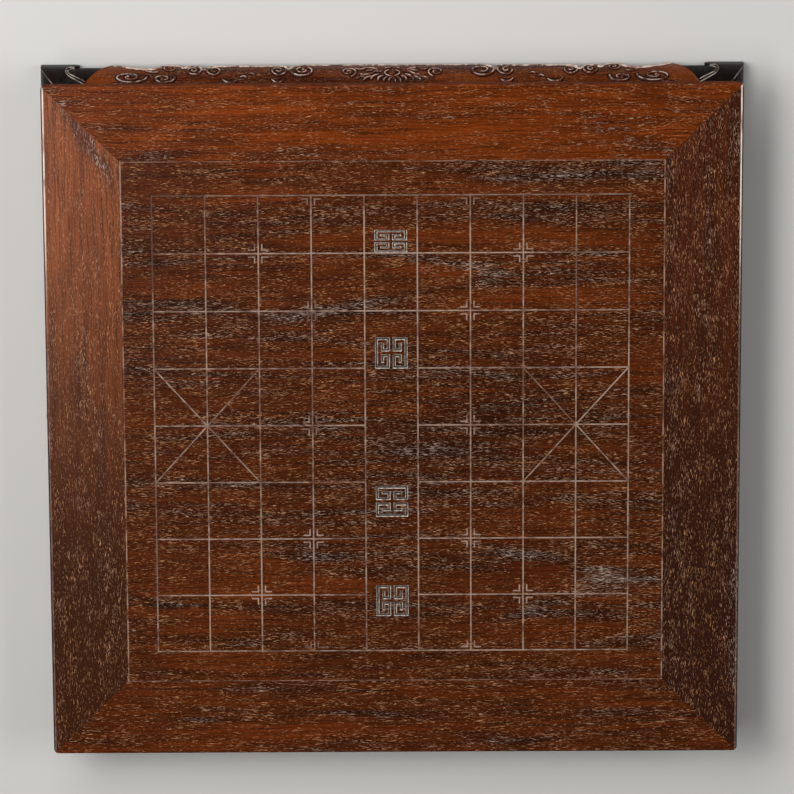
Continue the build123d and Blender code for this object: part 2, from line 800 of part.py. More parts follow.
# right and left as the player who opens the drawer sees it
drawer_pieces = {
    "front": drawer_front.part,
    "right_side": drawer_side.part,
    "left_side": mirror(drawer_side.part, about=Plane.XZ),
    "bottom": drawer_bottom.part,
    "back": drawer_back.part,
    "divider": drawer_divider.part,
    "rosette": rosette.part,
    "knob": knob.part,
}
for side, turn in (("right", 0), ("left", 180)):
    for piece, part in drawer_pieces.items():
        keep(part.rotate(Axis.Z, turn), f"{side}_drawer_{piece}")

print(len(finished), "pieces kept")
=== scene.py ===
# %% [markdown]
# A board for xiangqi, the Chinese game of chess, on a low carved stand with a drawer for each player.
# The wood is an open-pored, reddish-brown hardwood. The solids of the joiner's work come from the packed
# frame. This script gives them their finishes, carves the aprons and the ornaments of the river, and sets
# up the light. Everything is in metres, and the feet stand on the floor at Z = 0.

# %% Load the frame
import math

import bmesh
import bpy
import numpy as np
from mathutils import Matrix, Vector
from mathutils.bvhtree import BVHTree


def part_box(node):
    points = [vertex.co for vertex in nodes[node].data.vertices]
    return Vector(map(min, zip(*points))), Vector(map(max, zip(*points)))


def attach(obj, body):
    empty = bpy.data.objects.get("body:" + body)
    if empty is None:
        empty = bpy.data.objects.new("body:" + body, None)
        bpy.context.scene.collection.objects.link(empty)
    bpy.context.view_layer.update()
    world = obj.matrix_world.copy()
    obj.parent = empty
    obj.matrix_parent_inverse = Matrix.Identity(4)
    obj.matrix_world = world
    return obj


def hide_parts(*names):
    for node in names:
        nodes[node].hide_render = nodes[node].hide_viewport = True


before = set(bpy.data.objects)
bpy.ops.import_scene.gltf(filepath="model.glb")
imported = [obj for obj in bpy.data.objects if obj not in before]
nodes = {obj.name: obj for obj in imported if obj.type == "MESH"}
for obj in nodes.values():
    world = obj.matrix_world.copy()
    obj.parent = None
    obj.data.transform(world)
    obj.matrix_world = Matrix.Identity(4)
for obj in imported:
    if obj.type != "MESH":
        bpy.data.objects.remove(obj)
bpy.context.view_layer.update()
print("pieces in the frame:", len(nodes))


def mm(value):
    """Millimetres as metres."""
    return value / 1000


# %% [markdown]
# A colour is picked as a screen shows it, from 0 to 255. A shader counts light instead, so each colour is
# made linear first.

# %% Colours


def paint(red, green, blue):
    """A screen colour, 0 to 255, as the linear colour that a shader takes."""
    def linear(c):
        c /= 255
        return c / 12.92 if c <= 0.04045 else ((c + 0.055) / 1.055) ** 2.4
    return (linear(red), linear(green), linear(blue), 1)


print("half grey is linear", round(paint(128, 128, 128)[0], 3))

# %% [markdown]
# A finish is a tree of nodes, and most of its nodes do sums. One wood takes more than a hundred of them, too
# many to place by hand. This class wraps one socket, so that a sum can be written as it is on paper: each
# operator adds the Math node that does it. Any other node comes from `add`.

# %% Sums on sockets


class Flow:
    """An output socket of a finish. Sums on it add Math nodes."""

    def __init__(self, socket):
        self.socket = socket

    def add(self, kind, inputs=None, output=0, **settings):
        """Adds a node, sets it, feeds its sockets by name or number, and gives one of its outputs."""
        tree = self.socket.id_data
        made = tree.nodes.new("ShaderNode" + kind)
        for key, value in settings.items():
            setattr(made, key, value)
        for key, value in (inputs or {}).items():
            if isinstance(value, Flow):
                tree.links.new(value.socket, made.inputs[key])
            else:
                made.inputs[key].default_value = value
        return Flow(made.outputs[output])

    def math(self, operation, *values):
        """A Math node that takes this value first."""
        return self.add("Math", dict(enumerate((self, *values))), operation=operation)

    def __add__(self, other):
        return self.math("ADD", other)

    __radd__ = __add__

    def __sub__(self, other):
        return self.math("SUBTRACT", other)

    def __rsub__(self, other):
        return self.add("Math", {0: other, 1: self}, operation="SUBTRACT")

    def __mul__(self, other):
        return self.math("MULTIPLY", other)

    __rmul__ = __mul__

    def __truediv__(self, other):
        return self.math("DIVIDE", other)

    def __abs__(self):
        return self.math("ABSOLUTE")

    def step(self, low, high, start=0.0, end=1.0):
        """Rises smoothly from start to end as this value goes from low to high."""
        ends = {"Value": self, "From Min": low, "From Max": high, "To Min": start, "To Max": end}
        return self.add("MapRange", ends, interpolation_type="SMOOTHSTEP")

    def mix(self, first, second):
        """A colour between two, where this value is the share of the second."""
        return self.add("Mix", {"Factor": self, 6: first, 7: second}, output=2, data_type="RGBA")


# %% [markdown]
# A finish starts from the place of each point on its object. A place can be taken apart into its three
# values, changed, and put together again, and noise gives soft random values there. A pattern that is made
# so goes right through the wood, as grain does, and needs no unwrapping.

# %% Places and noise


def point(x, y, z):
    """Three values as one vector."""
    start = next(v for v in (x, y, z) if isinstance(v, Flow))
    return start.add("CombineXYZ", {0: x, 1: y, 2: z})


def split(place):
    """The three values of a vector, by the names of their axes."""
    parts = place.add("SeparateXYZ", {0: place}).socket.node.outputs
    return {axis: Flow(part) for axis, part in zip("xyz", parts)}


def noise(place, scale=1.0, detail=2.0, rough=0.5):
    """Soft random values, 0 to 1, at a vector."""
    return place.add("TexNoise", {"Vector": place, "Scale": scale, "Detail": detail, "Roughness": rough})


def new_finish(name):
    """A new material, its place socket and its shader node."""
    finish = bpy.data.materials.new(name)
    finish.use_nodes = True
    tree = finish.node_tree
    place = Flow(tree.nodes.new("ShaderNodeTexCoord").outputs["Object"])
    return finish, place, tree.nodes["Principled BSDF"]


def feed(shader, **inputs):
    """Feeds a shader's sockets, with underscores for the spaces in their names."""
    for key, value in inputs.items():
        socket = shader.inputs[key.replace("_", " ")]
        if isinstance(value, Flow):
            socket.id_data.links.new(value.socket, socket)
        else:
            socket.default_value = value


# %% [markdown]
# The camera looks down on the playing face, and a little from behind, so that the carving at the back shows
# past the rail. It stands where a fit to the board's corners and lines in the photograph puts it: far off,
# with a long lens. A short lens from close by would fit the board in as well, but its sides would run
# together.

# %% Camera
turn = (Matrix.Rotation(0.00483305, 3, "Z") @ Matrix.Rotation(0.26887287, 3, "X")
        @ Matrix.Rotation(-0.000502885, 3, "Y"))
camera_place, view_angle = (0.0040, 1.0291, 3.7240), 7.70
camera_data = bpy.data.cameras.new("camera")
camera_data.sensor_width = 36
camera_data.sensor_fit = "HORIZONTAL"
camera_data.angle = math.radians(view_angle)
camera_data.clip_end = 50
camera = bpy.data.objects.new("camera", camera_data)
bpy.context.scene.collection.objects.link(camera)
camera.matrix_world = Matrix.Translation(camera_place) @ turn.transposed().to_4x4()
bpy.context.scene.camera = camera
print("lens, mm:", round(camera_data.lens))

# %% [markdown]
# A bmesh is a mesh on the workbench: operators shape it there, and then it is handed over as a mesh that
# an object shows. Each object stays at the origin, with its place in its mesh, so a finish that reads
# places lies the same on all of them.

# %% From a shape to an object


def add_object(name, mesh):
    """Links a mesh to the scene as an object at the origin."""
    made = bpy.data.objects.new(name, mesh)
    bpy.context.scene.collection.objects.link(made)
    return made


def mesh_of(name, shape, smooth=False):
    """Turns a bmesh into a mesh, with its faces pointing outwards."""
    bmesh.ops.recalc_face_normals(shape, faces=shape.faces)
    mesh = bpy.data.meshes.new(name)
    for face in shape.faces:
        face.smooth = smooth
    shape.to_mesh(mesh)
    shape.free()
    return mesh


# %% [markdown]
# The floor is plain and pale. Its object is staged, which means that it isn't part of the board. Lamps only
# reach so far, so further out the floor glows in its own colour, and looks even to its edge. Only the rays
# from the camera, and those that a polished surface or a clear one passes on, see the glow: it adds no
# light to the board.

# %% Floor
lit_reach, glow_reach = 0.40, 1.05  # metres from the board's middle
floor_colour = paint(196, 194, 190)
shape = bmesh.new()
bmesh.ops.create_grid(shape, x_segments=1, y_segments=1, size=6)
floor = add_object("floor", mesh_of("floor", shape))
floor_finish, place, shader = new_finish("floor")
feed(shader, Base_Color=floor_colour, Roughness=0.9)
ray_kinds = ("Is Camera Ray", "Is Glossy Ray", "Is Transmission Ray")
camera_ray, glossy_ray, clear_ray = (place.add("LightPath", output=kind) for kind in ray_kinds)
seen = camera_ray.math("MAXIMUM", glossy_ray).math("MAXIMUM", clear_ray)
reach = place.add("VectorMath", {0: place}, output="Value", operation="LENGTH")
glow = place.add("Emission", {"Color": floor_colour})
share = reach.step(lit_reach, glow_reach) * seen
both = place.add("MixShader", {0: share, 1: Flow(shader.outputs[0]), 2: glow})
finish_tree = floor_finish.node_tree
finish_tree.links.new(both.socket, finish_tree.nodes["Material Output"].inputs["Surface"])
floor.data.materials.append(floor_finish)
print("floor, m:", floor.dimensions.x)

# %% [markdown]
# The light is a soft box high at the back left, a weaker one at the right, a dim one high behind the carved
# apron, and an even grey world. One more box hangs where the polished rail at the left mirrors it, because
# the photograph has a pale sheen there. Large boxes give soft shadows, as a window does.

# %% Lamps and world


def soft_box(name, place, target, width, depth, power):
    """An area lamp at a place, turned to face a target."""
    lamp = bpy.data.lights.new(name, "AREA")
    lamp.shape = "RECTANGLE"
    lamp.size = width
    lamp.size_y = depth
    lamp.energy = power
    made = bpy.data.objects.new(name, lamp)
    bpy.context.scene.collection.objects.link(made)
    aim = (Vector(target) - Vector(place)).to_track_quat("-Z", "Y")
    made.matrix_world = Matrix.Translation(place) @ aim.to_matrix().to_4x4()


soft_box("key_box", (-0.86, 0.56, 1.75), (-0.05, 0.05, 0.05), 0.9, 0.9, 26.5)
soft_box("fill_box", (1.6, 0.35, 2.1), (0, 0, 0.05), 1.2, 1.2, 19)
soft_box("back_box", (-0.45, 1.25, 1.3), (0, 0.2, 0.03), 0.9, 0.9, 9)
soft_box("sheen_box", (-0.64, -0.16, 2.05), (-0.2, -0.1, 0.05), 0.70, 0.36, 6.5)
world = bpy.data.worlds.new("studio")
world.use_nodes = True
sky = world.node_tree.nodes["Background"]
sky.inputs["Color"].default_value = (0.82, 0.84, 0.88, 1)
sky.inputs["Strength"].default_value = 0.12
bpy.context.scene.world = world
bpy.context.scene.view_settings.view_transform = "Standard"
print("lamps:", len(bpy.data.lights))

# %% [markdown]
# Each apron is carved in low relief: a bead along its cusped lower edge curls into a scroll at each notch,
# crescents and flat scrolls fill the field, and a knot of scrolls round a boss marks the middle. The four
# aprons are alike. Wires laid on the face could make the lines, but they would cross in hard creases. A
# carver lowers the ground and rounds what is left, so here the relief is one height field: a fine grid is
# laid on the bulging face of the frame's apron, and each of its points is moved in or out by its distance
# from the drawn lines. First, rays cast upwards measure the frame's apron.

# %% The face of an apron
apron_tree = BVHTree.FromObject(nodes["apron_back"], bpy.context.evaluated_depsgraph_get())
apron_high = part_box("apron_back")[1] * 1000
apron_end, apron_top = apron_high.x - 0.1, apron_high.z
bulge_radius, bulge_level, bulge_middle = 19.0, 5.35, 207.35  # the arc of the face, seen from the end
columns, rows = 880, 40
mitre_begins, edge_inset, mitre_inset = 188, 221.5, 216.7  # mm; rays go up at these insets


def bottom_hit(x):
    """Height in mm where a line straight up at a place along the apron meets its edge or its mitre."""
    y = edge_inset if abs(x) < mitre_begins else mitre_inset
    hit = apron_tree.ray_cast(Vector((x, y, -10)) / 1000, Vector((0, 0, 1)))[0]
    return hit.z * 1000 if hit else apron_top - 0.05


outline = np.array([(x, bottom_hit(x)) for x in np.linspace(-apron_end, apron_end, columns + 1)])
print("lowest point of the edge, mm:", round(outline[:, 1].min(), 2))


def rise(z):
    """Distance up the bulging face for a height, in mm."""
    return bulge_level + bulge_radius * np.arcsin((z - bulge_level) / bulge_radius)


# %% [markdown]
# The carver's lines are drawn on one half of the apron, in millimetres: how far from its middle, and how
# far up the face. Each is a row of points with its own half widths. A scroll is a spiral that ends in a
# round eye. A leaf is a smooth curve that is widest halfway.

# %% Kinds of line


def spaced(line, gap=0.15):
    """The same line with evenly spaced points."""
    steps = np.hypot(*np.diff(line, axis=0).T)
    run = np.concatenate([[0], np.cumsum(steps)])
    places = np.linspace(0, run[-1], int(run[-1] / gap) + 2)
    return np.column_stack([np.interp(places, run, line[:, i]) for i in (0, 1)])


def oval(middle, across, up, angle, size=1.0):
    """Spaced points on an ellipse, or on a spiral where the size shrinks with the angle."""
    return spaced(np.column_stack([
        middle[0] + across * size * np.cos(angle),
        middle[1] + up * size * np.sin(angle),
    ]))


def scroll(middle, across, up, begin, turns, half_width=1.0):
    """A spiral from an ellipse in to its eye; begin is an angle in degrees, and turns may be negative."""
    t = np.linspace(0, 1, 200)
    line = oval(middle, across, up, math.radians(begin) + t * turns * math.tau, 1 - 0.88 * t**0.85)
    widths = half_width * np.linspace(1.0, 0.75, len(line))
    widths[-4:] = half_width * 1.15
    return line, widths


def ring(middle, across, up, half_width=0.9):
    """A closed oval."""
    line = oval(middle, across, up, np.linspace(0, math.tau, 120))
    return line, np.full(len(line), half_width)


def leaf(*points, half_width=1.0):
    """A smooth curve through points, widest in its middle."""
    knots = np.array([points[0], *points, points[-1]], float)
    line = []
    for before, start, end, after in zip(knots, knots[1:], knots[2:], knots[3:]):
        for t in np.linspace(0, 1, 20, endpoint=False):
            line.append(start + 0.5 * t * (end - before + t * (2 * before - 5 * start + 4 * end - after
                        + t * (3 * start - before - 3 * end + after))))
    line = spaced(np.array(line + [knots[-1]]))
    return line, half_width * (0.35 + 0.65 * np.sin(np.linspace(0.15, np.pi - 0.15, len(line))))


print("points round a 5 mm ring:", len(ring((0, 0), 5, 5)[0]))

# %% [markdown]
# Scrolls sit in pairs on either side of each notch in the apron's edge, and crescents and small leaves run
# between the pairs. Only half of them are written down, because a place's distance from the middle is
# the same on both sides.

# %% Lines along the apron
field = [
    scroll((57.4, 13.2), 8.9, 6.3, -50, 1.9, 1.2),
    scroll((73.4, 13.2), 6.2, 5.6, 230, -1.6, 1.1),
    scroll((114.2, 12.9), 5.6, 5.5, -50, 1.6, 1.1),
    scroll((127.9, 12.7), 5.8, 5.3, 235, -1.7, 1.1),
    scroll((142.4, 10.2), 4.9, 4.0, -60, 1.5, 0.9),
    scroll((147.0, 19.9), 7.7, 3.6, 200, -1.6, 1.1),
    scroll((168.8, 18.8), 11.6, 4.6, 185, -1.7, 1.15),
    leaf((109.8, 20.3), (106.8, 22.7), (102.6, 23.1), (99.6, 21.3), half_width=1.5),
    leaf((98.0, 19.7), (95.6, 18.3), (93.4, 19.5), half_width=1.0),
    leaf((92.6, 17.0), (90.2, 16.0), (88.2, 17.2), half_width=0.9),
    leaf((77.6, 20.9), (75.2, 22.9), (71.8, 22.9), (69.2, 21.0), half_width=1.4),
    leaf((181.5, 24.0), (177.5, 24.0), (173.4, 23.4), half_width=1.0),
    leaf((158.6, 13.4), (153.0, 14.8), (149.4, 14.0), half_width=0.9),
]
print("lines along each half:", len(field))

# %% [markdown]
# The knot marks the middle of the side. A boss in an oval ring holds it together, leaves fan out above the
# ring, and two long ones trail down to a scroll.

# %% Lines of the knot
knot = [
    ring((0.0, 16.0), 4.8, 2.7),
    ring((0.0, 16.0), 0.9, 0.5, 1.5),
    leaf((0.0, 10.4), (2.8, 10.6), (5.2, 12.0), half_width=0.9),
    scroll((28.2, 14.9), 5.7, 4.3, 110, 1.6),
    leaf((22.4, 16.4), (18.4, 17.6), (14.2, 16.8), (10.8, 14.8), (7.2, 15.2), half_width=1.1),
    leaf((24.4, 11.4), (20.6, 12.6), (16.6, 11.0), (12.4, 11.4), (9.0, 13.4), half_width=1.2),
    leaf((16.6, 14.2), (13.6, 13.6), (11.4, 12.8), half_width=0.9),
    leaf((0.0, 19.8), (1.8, 21.2), (2.2, 23.6), half_width=1.1),
    leaf((3.2, 19.6), (5.2, 21.2), (5.6, 23.8), half_width=1.1),
    leaf((5.4, 18.2), (8.4, 19.6), (9.4, 22.6), half_width=1.2),
    leaf((8.4, 17.2), (12.0, 18.6), (13.8, 21.6), half_width=1.2),
    leaf((13.2, 18.8), (16.4, 19.8), (18.8, 22.2), half_width=1.1),
    leaf((17.6, 19.2), (20.6, 19.4), (23.4, 21.0), half_width=0.9),
]
carving = field + knot
print("lines of the knot on each half:", len(knot))

# %% [markdown]
# The relief needs to know how far each point of the sheet is from each line. Most are far from it, so only
# those near the line's box are measured, a few thousand at a time, which saves time and memory.

# %% Distance from a line
felt = 1.7  # how far out a line still counts, in its half widths


def share_of_width(line, widths, x, t):
    """Distance of each place from a line, as a share of the line's half width there."""
    reach = felt * widths.max()
    away = np.full(x.shape, 9.0)
    near = (np.abs(x - line[:, 0].mean()) < np.ptp(line[:, 0]) + reach)
    near &= (x > line[:, 0].min() - reach) & (x < line[:, 0].max() + reach)
    near &= (t > line[:, 1].min() - reach) & (t < line[:, 1].max() + reach)
    found = np.flatnonzero(near)
    for some in np.array_split(found, len(found) // 2000 + 1):
        gaps = np.hypot(x[some, None] - line[:, 0], t[some, None] - line[:, 1])
        away[some] = (gaps / widths).min(axis=1)
    return away


def gap_to(line, x, t, reach=5.0):
    """Distance of each place from a line in mm, right up to somewhat past the reach."""
    return share_of_width(line, np.full(len(line), reach), x, t) * reach


test_line = np.array([[0.0, 0.0], [1.0, 0.0]])
print("2 mm above a line, measured:", gap_to(test_line, np.array([0.5]), np.array([2.0])).round(1)[0])

# %% [markdown]
# The relief's height at a place is that of the tallest ridge there. Near the outer edge the apron already
# reaches its greatest width, so ridges there are kept low. The same distances say where the finish paints
# shade in the grooves and highlights on the crests.

# %% Height of the relief
ridge_height, ground_depth = 0.95, 0.38
bead_middle, bead_half_width, bead_end = 1.25, 1.05, 178.4  # up from the edge, and how far along it runs
border, slope = 0.1, 1.2  # the ground sinks over this slope, inside this border
widest = 226.56  # from the board's middle to just inside the legs' faces


def ridge(away):
    """A rounded ridge, 1 on its line and 0 at its half width."""
    return 0.5 + 0.5 * np.cos(np.pi * np.clip(away, 0, 1))


def relief(x, z):
    """How far the carved face stands out in mm, and how near a place is to a ridge, 1 on its line."""
    x, t = np.abs(x), rise(z)
    edge = spaced(np.column_stack([outline[:, 0], rise(outline[:, 1])])[columns // 2 - 4:])
    bead = gap_to(edge[edge[:, 0] < bead_end], x, t)
    away = np.abs(bead - bead_middle) / bead_half_width
    for line, widths in carving:
        away = np.minimum(away, share_of_width(line, widths, x, t))
    sunk = np.clip((gap_to(edge, x, t) - border) / slope, 0, 1)
    sunk *= np.clip((rise(apron_top) - 0.5 - t) / slope, 0, 1)
    room = widest - bulge_middle - np.sqrt(bulge_radius**2 - (z - bulge_level) ** 2)
    nearness = np.clip(1 - away / felt, 0, 1) + np.clip(1.2 - np.abs(bead - 1.3), 0, 1)
    return np.minimum(ridge_height * ridge(away) - ground_depth * sunk, room), nearness


ridge_steps = ridge(np.linspace(0, 1, 5))
print("a ridge from its line to its foot:", ridge_steps.round(2))

# %% [markdown]
# The sheet is a grid whose columns run from the apron's lower edge to its top. Its points are set on the arc
# of the face and moved along the arc's own normal. Each point also keeps how near it is to a ridge, as an
# attribute, for the finish to read.

# %% Carved sheet
shape = bmesh.new()
bmesh.ops.create_grid(shape, x_segments=columns, y_segments=rows, size=1)
flat = np.array([v.co for v in shape.verts])
x = flat[:, 0] * apron_end
low = np.interp(x, *outline.T)
z = low + (apron_top - low) * (flat[:, 1] + 1) / 2
out, nearness = relief(x, z)
lean = (z - bulge_level) / bulge_radius
y = bulge_middle + (bulge_radius + out) * np.sqrt(1 - lean**2)
height = np.minimum(z + out * lean, apron_top)
for vert, place in zip(shape.verts, np.column_stack([x, y, height]) / 1000):
    vert.co = place
for face in shape.faces:
    face.smooth = True
carve = shape.verts.layers.float.new("carve")
for vert, value in zip(shape.verts, nearness):
    vert[carve] = value
print("furthest out, mm:", round(y.max(), 2))

# %% [markdown]
# An apron is a board, not a sheet, so the sheet is extruded back to the inner face of the frame's apron,
# which rays find from inside. Solidify would make it equally thick all over, but the frame's apron is flat
# inside, with a bevel behind its lower edge. The rim is marked sharp, because smooth shading would round it.
# The one apron is then turned round the middle of the board for each side, and takes the place of the
# frame's plain one.

# %% Carved aprons
back_levels = np.linspace(4.0, apron_top - 0.1, 30)
inside = [Vector((0, 0.15, level / 1000)) for level in back_levels]
back_hits = [apron_tree.ray_cast(start, Vector((0, 1, 0)))[0] for start in inside]
back_places = np.minimum.accumulate([hit.y * 1000 for hit in back_hits])
for edge in (e for e in shape.edges if e.is_boundary):
    edge.smooth = False
grown = bmesh.ops.extrude_face_region(shape, geom=list(shape.faces), use_keep_orig=True)["geom"]
for vert in (v for v in grown if isinstance(v, bmesh.types.BMVert)):
    vert.co.y = float(np.interp(vert.co.z * 1000, back_levels, back_places)) / 1000
bmesh.ops.recalc_face_normals(shape, faces=shape.faces)
carved = bpy.data.meshes.new("carved_apron")
shape.to_mesh(carved)
shape.free()
carved_aprons = {}
for side, quarter in (("back", 0), ("left", 1), ("front", 2), ("right", 3)):
    mesh = carved.copy()
    mesh.transform(Matrix.Rotation(quarter * math.pi / 2, 4, "Z"))
    carved_aprons[side] = add_object("carved_apron_" + side, mesh)
    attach(carved_aprons[side], "case")
    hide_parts("apron_" + side)
print("faces of each apron:", len(carved.polygons))

# %% [markdown]
# A picture of wood would have to be wrapped round each piece, and would show where it repeats. So wood is
# made here the way it grows. One coordinate runs along the grain, one across it and one through it, and a
# slow noise sways the second. Bands, streaks, fibres and pores all read them, so they all follow the same
# figure. Each is noise that is squeezed across the grain. The tone that comes out says how light the wood
# is at a place.

# %% Figure of the wood


def stretched(grown, rates, seed, detail=1.0):
    """Noise that changes so many times in a metre, along the grain and across it."""
    along, across, through = grown
    return noise(point(along * rates[0] + seed, across * rates[1], through * rates[1]), detail=detail)


def figure(straight, seed, tilt):
    """The place across the swayed grain, the tone of the wood, and how warm it is."""
    along, across, through = straight
    swing = stretched(straight, (5.0, 11.0), seed) - 0.5
    shiver = stretched(straight, (60.0, 90.0), seed, detail=2.0) - 0.5
    bent = across + swing * mm(8.0) + shiver * mm(3.4)
    rings = bent + through * tilt
    bands = noise(point(along * 6.0 + seed, rings * 62.0, seed), detail=3.0, rough=0.6)
    streaks = noise(point(along * 20.0 + seed, rings * 330.0, seed + 3), detail=2.0)
    warm = noise(point(along * 9.0 + seed, rings * 26.0, seed + 6), detail=1.0)
    return bent, bands * 0.5 + streaks * 0.3 + 0.1, warm


# %% [markdown]
# A mark is a soft oval that one plank shows at one place. It is lighter or darker than the rest, and its
# pores are more crowded or fewer. The oval fades out from its middle as a bell curve does.

# %% Marks on a plank


def add_marks(tone, along, bent, marks):
    """The tone with a plank's marks on it, and how much they crowd its pores."""
    crowd = 0.0
    for middle, level, slope, half_length, half_width, brighter, pores in marks:
        off = (bent - (along - mm(middle)) * slope - mm(level)) / mm(half_width)
        run = (along - mm(middle)) / mm(half_length)
        soft = ((off * off + run * run) * -1).math("EXPONENT")
        tone = tone + soft * brighter
        crowd = soft * (pores * 0.6) + crowd
    return tone, crowd


# %% [markdown]
# A pore is a vessel of the tree that the saw has cut open: a short dash along the grain. Noise that is cut
# off high leaves such dashes. Some pores are empty and dark, and pale dust fills others, most of all where
# the wood is dark.

# %% Pores


def dashes(grown, length, width, share, seed):
    """Pores: where one opens, from 0 to 1. A larger share opens more of them."""
    along, across, through = grown
    speck = noise(point(along / length + seed, across / width, through / width + seed), detail=1.5)
    open_at = 0.70 - share * 0.15
    return (speck - open_at).step(0.0, 0.035)


def filled_pores(grown, tone, crowd, pore_share, seed, size):
    """How full of pale dust each place is, from 0 to 1."""
    clumps = stretched(grown, (45.0, 130.0), seed).step(0.35, 0.65, -0.15, 0.15)
    porous = tone.step(0.62, 0.36, pore_share * 0.6, pore_share) + clumps + crowd
    long_pores = dashes(grown, mm(4.6) * size, mm(0.44) * size, porous, seed + 11)
    fine_pores = dashes(grown, mm(2.6) * size, mm(0.36) * size, porous, seed + 23)
    depth = stretched(grown, (150.0, 600.0), seed).step(0.3, 0.7, 0.25, 1.0)
    return (long_pores * 0.95).math("MAXIMUM", fine_pores * 0.9) * depth


# %% [markdown]
# The colour is laid on as a polisher sees it. The tone picks between three shades, fine fibres and empty
# pores darken them, and the dust in the filled pores comes last. Dust is rougher than polish, and lies a
# little lower, so the same pores feed the roughness and the bump.

# %% Wood


def heartwood(grown, tone, warm, shades, seed, patch, size):
    """The colour of the wood before dust fills its pores, and its fibres."""
    dark, mid, light = (paint(*shade) for shade in shades)
    shadow, deep = (paint(*[part * share for part in shades[0]]) for share in (0.4, 0.3))
    body = tone.step(0.32, 0.56).mix(dark, mid)
    lit = warm.step(0.42, 0.62, 0.25, 1.0) * tone.step(0.46, 0.62)
    body = (lit * patch).mix(body, light)
    fibres = stretched(grown, (34.0, 1900.0), seed, detail=2.0)
    body = fibres.step(0.4, 0.7, 0.0, 0.7).mix(body, shadow)
    empty_pores = dashes(grown, mm(3.4) * size, mm(0.45) * size, 0.5, seed + 37)
    return (empty_pores * 0.6).mix(body, deep), fibres


def wood(name, grain, shades, marks=(), seed=0.0, pale=(160, 138, 122), warm_pale=(172, 120, 80),
         pore_share=0.7, gloss=0.18, patch=0.6, size=1.0, tilt=0.9, fade=None, dull=None, shine=0.1,
         extra=None):
    """An open-pored hardwood. grain names the axes along, across and through it; shades go dark to light."""
    finish, place, shader = new_finish(name)
    axes = split(place)
    along, across, through = (axes[axis] for axis in grain)
    bent, tone, warm = figure((along, across, through), seed, tilt)
    tone, crowd = add_marks(tone, along, bent, marks)
    grown = (along, bent, through)
    body, fibres = heartwood(grown, tone, warm, shades, seed, patch, size)
    # Painted falloff of the light: the colour turns to a darker shade towards one end of the grain.
    if fade:
        begin, end, shade = fade
        body = along.step(mm(begin), mm(end)).mix(body, paint(*shade))
    filled = filled_pores(grown, tone, crowd, pore_share, seed, size)
    dust = (tone - crowd * 0.2).step(0.52, 0.36).mix(paint(*warm_pale), paint(*pale))
    body = filled.mix(body, dust)
    if extra:
        body = extra(axes, body, place)
    rough = filled.step(0, 1, gloss, 0.55) + fibres * 0.06
    if dull:
        axis, begin, end = dull
        rough = rough + abs(axes[axis]).step(mm(begin), mm(end), 0.0, 0.7)
    height = filled * -1.0 + fibres * 0.25
    bump = place.add("Bump", {"Height": height, "Distance": mm(0.06), "Strength": 0.5})
    feed(shader, Base_Color=body, Roughness=rough, Normal=bump, Specular_IOR_Level=shine)
    return finish


def dress(finish, *names):
    """Gives a finish to pieces of the frame."""
    for name in names:
        slots = nodes[name].material_slots
        for slot in slots:
            slot.material = finish
        if not slots:
            nodes[name].data.materials.append(finish)
    print(finish.name, "on", len(names))


# %% [markdown]
# The playing face is one wide panel, held in a frame so that it can swell and shrink. Its plank isn't even:
# dark streaks cross it, and some patches have more open pores. Noise alone can't say where, so each is a
# mark: its middle, level and slope, its half length and half width, how much brighter it is, and how many
# more pores it has. Pale dust has settled in the joint round the panel.

# %% Panel
panel_marks = (
    (-39, 76, 0.17, 95, 5.5, -0.13, 0.12),
    (30, 107, -0.14, 50, 4.0, -0.10, 0.25),
    (60, 98, 0.0, 16, 5.0, -0.05, 0.40),
    (95, -90, -0.25, 50, 5.0, -0.12, 0.30),
    (88, -127, 0.36, 34, 5.0, -0.12, 0.15),
    (137, -108, 0.0, 24, 9.0, -0.02, 0.60),
    (96, -101, 0.0, 20, 7.0, 0.16, -0.5),
    (45, -104, 0.0, 34, 9.0, 0.08, -0.2),
    (60, 2, 0.0, 62, 24.0, -0.10, -0.25),
    (-50, 121, 0.0, 36, 4.5, 0.14, -0.5),
    (38, 124, 0.0, 20, 4.0, 0.12, -0.4),
    (34, 117, -0.05, 20, 2.5, -0.16, -0.2),
    (130, 123, -0.06, 46, 4.0, 0.12, -0.3),
    (125, 113, -0.03, 40, 2.5, -0.14, 0.0),
    (-42, 102, 0.04, 26, 6.0, 0.12, -0.2),
    (40, 99, 0.0, 16, 3.5, 0.10, 0.0),
    (110, 86, 0.10, 60, 4.0, 0.10, -0.1),
    (-50, 46, -0.03, 40, 3.0, 0.14, -0.2),
    (-140, 128, 0.1, 30, 16.0, 0.06, -0.1),
    (-148, 97, 0.2, 24, 7.0, 0.09, -0.35),
    (-118, -108, -0.1, 30, 7.0, 0.12, -0.15),
    (-114, -135, 0.03, 36, 6.5, 0.13, -0.3),
    (-150, -121, 0.0, 12, 2.5, -0.18, 0.0),
    (-38, -109, 0.0, 22, 6.0, 0.12, -0.3),
    (-45, -88, 0.0, 22, 3.0, -0.14, 0.1),
    (-70, -161, 0.02, 95, 6.5, 0.12, -0.35),
    (128, 163, 0.0, 50, 5.0, -0.14, 0.1),
    (95, -62, 0.0, 60, 8.0, 0.04, 0.0),
    (160, 110, 0.0, 14, 7.0, 0.14, -0.3),
    (-114, 155, 0.0, 60, 8.0, 0.08, 0.0),
    (-104, -104, 0.0, 50, 26.0, 0.04, 0.0),
    (105, 105, 0.0, 55, 26.0, 0.04, 0.05),
)
panel_edge = 174.2  # mm from the middle of the board


